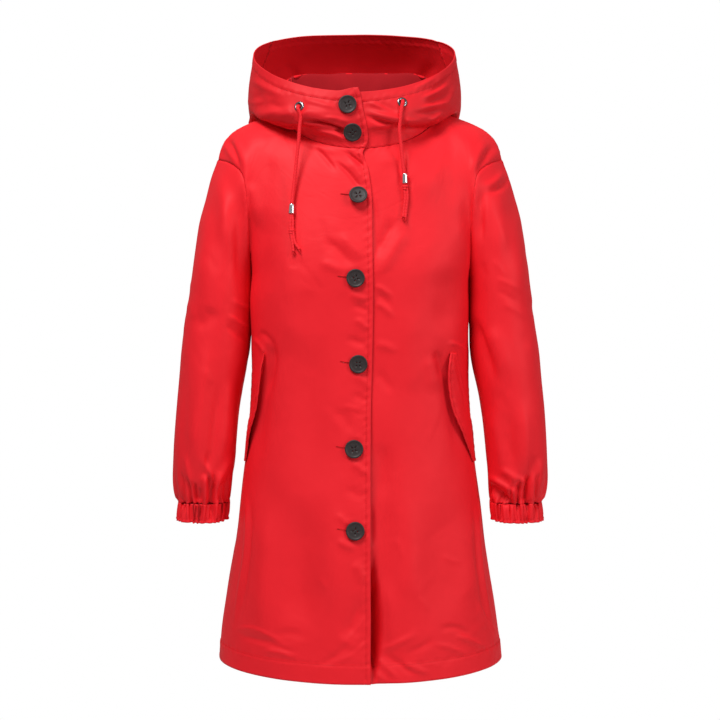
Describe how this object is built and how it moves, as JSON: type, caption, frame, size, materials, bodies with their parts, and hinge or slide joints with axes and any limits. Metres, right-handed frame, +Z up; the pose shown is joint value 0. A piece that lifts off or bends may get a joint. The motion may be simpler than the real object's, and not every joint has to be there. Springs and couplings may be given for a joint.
{
  "type": "hooded raincoat",
  "caption": "A-line hooded raincoat in plain red cloth, worn shape with nobody in it: buttoned front, set-in sleeves with gathered cuffs, curved pocket flaps and a drawcord at the hood.",
  "frame": {"origin": "middle of the neck opening, level with the highest points of the shoulder seams", "axes": "+X to the wearer's left, -Y to the wearer's front, +Z up along the body"},
  "size_m": [0.5922, 0.3581, 1.0267],
  "materials": {
    "shell_cloth": "smooth coated weave, soft sheen",
    "button_plastic": "satin charcoal, fine grain",
    "trim_metal": "polished; the eyelets darker than the bells",
    "cord_cloth": "soft round braid"
  },
  "bodies": {
    "root": {"front_right": "shell_cloth", "front_left": "shell_cloth", "back": "shell_cloth", "sleeve_right": "shell_cloth", "sleeve_left": "shell_cloth", "cuff_right": "shell_cloth", "cuff_left": "shell_cloth", "hood_side_right": "shell_cloth", "hood_side_left": "shell_cloth", "hood_centre": "shell_cloth", "pocket_flap_right": "shell_cloth", "pocket_flap_left": "shell_cloth", "button_1": "button_plastic", "button_2": "button_plastic", "button_3": "button_plastic", "button_4": "button_plastic", "button_5": "button_plastic", "button_6": "button_plastic", "button_7": "button_plastic", "eyelet_right": "trim_metal", "eyelet_left": "trim_metal", "cord_bell_right": "trim_metal", "cord_bell_left": "trim_metal", "drawcord_right": "cord_cloth", "drawcord_left": "cord_cloth", "cord_tail_right": "cord_cloth", "cord_tail_left": "cord_cloth"}
  },
  "joints": []
}
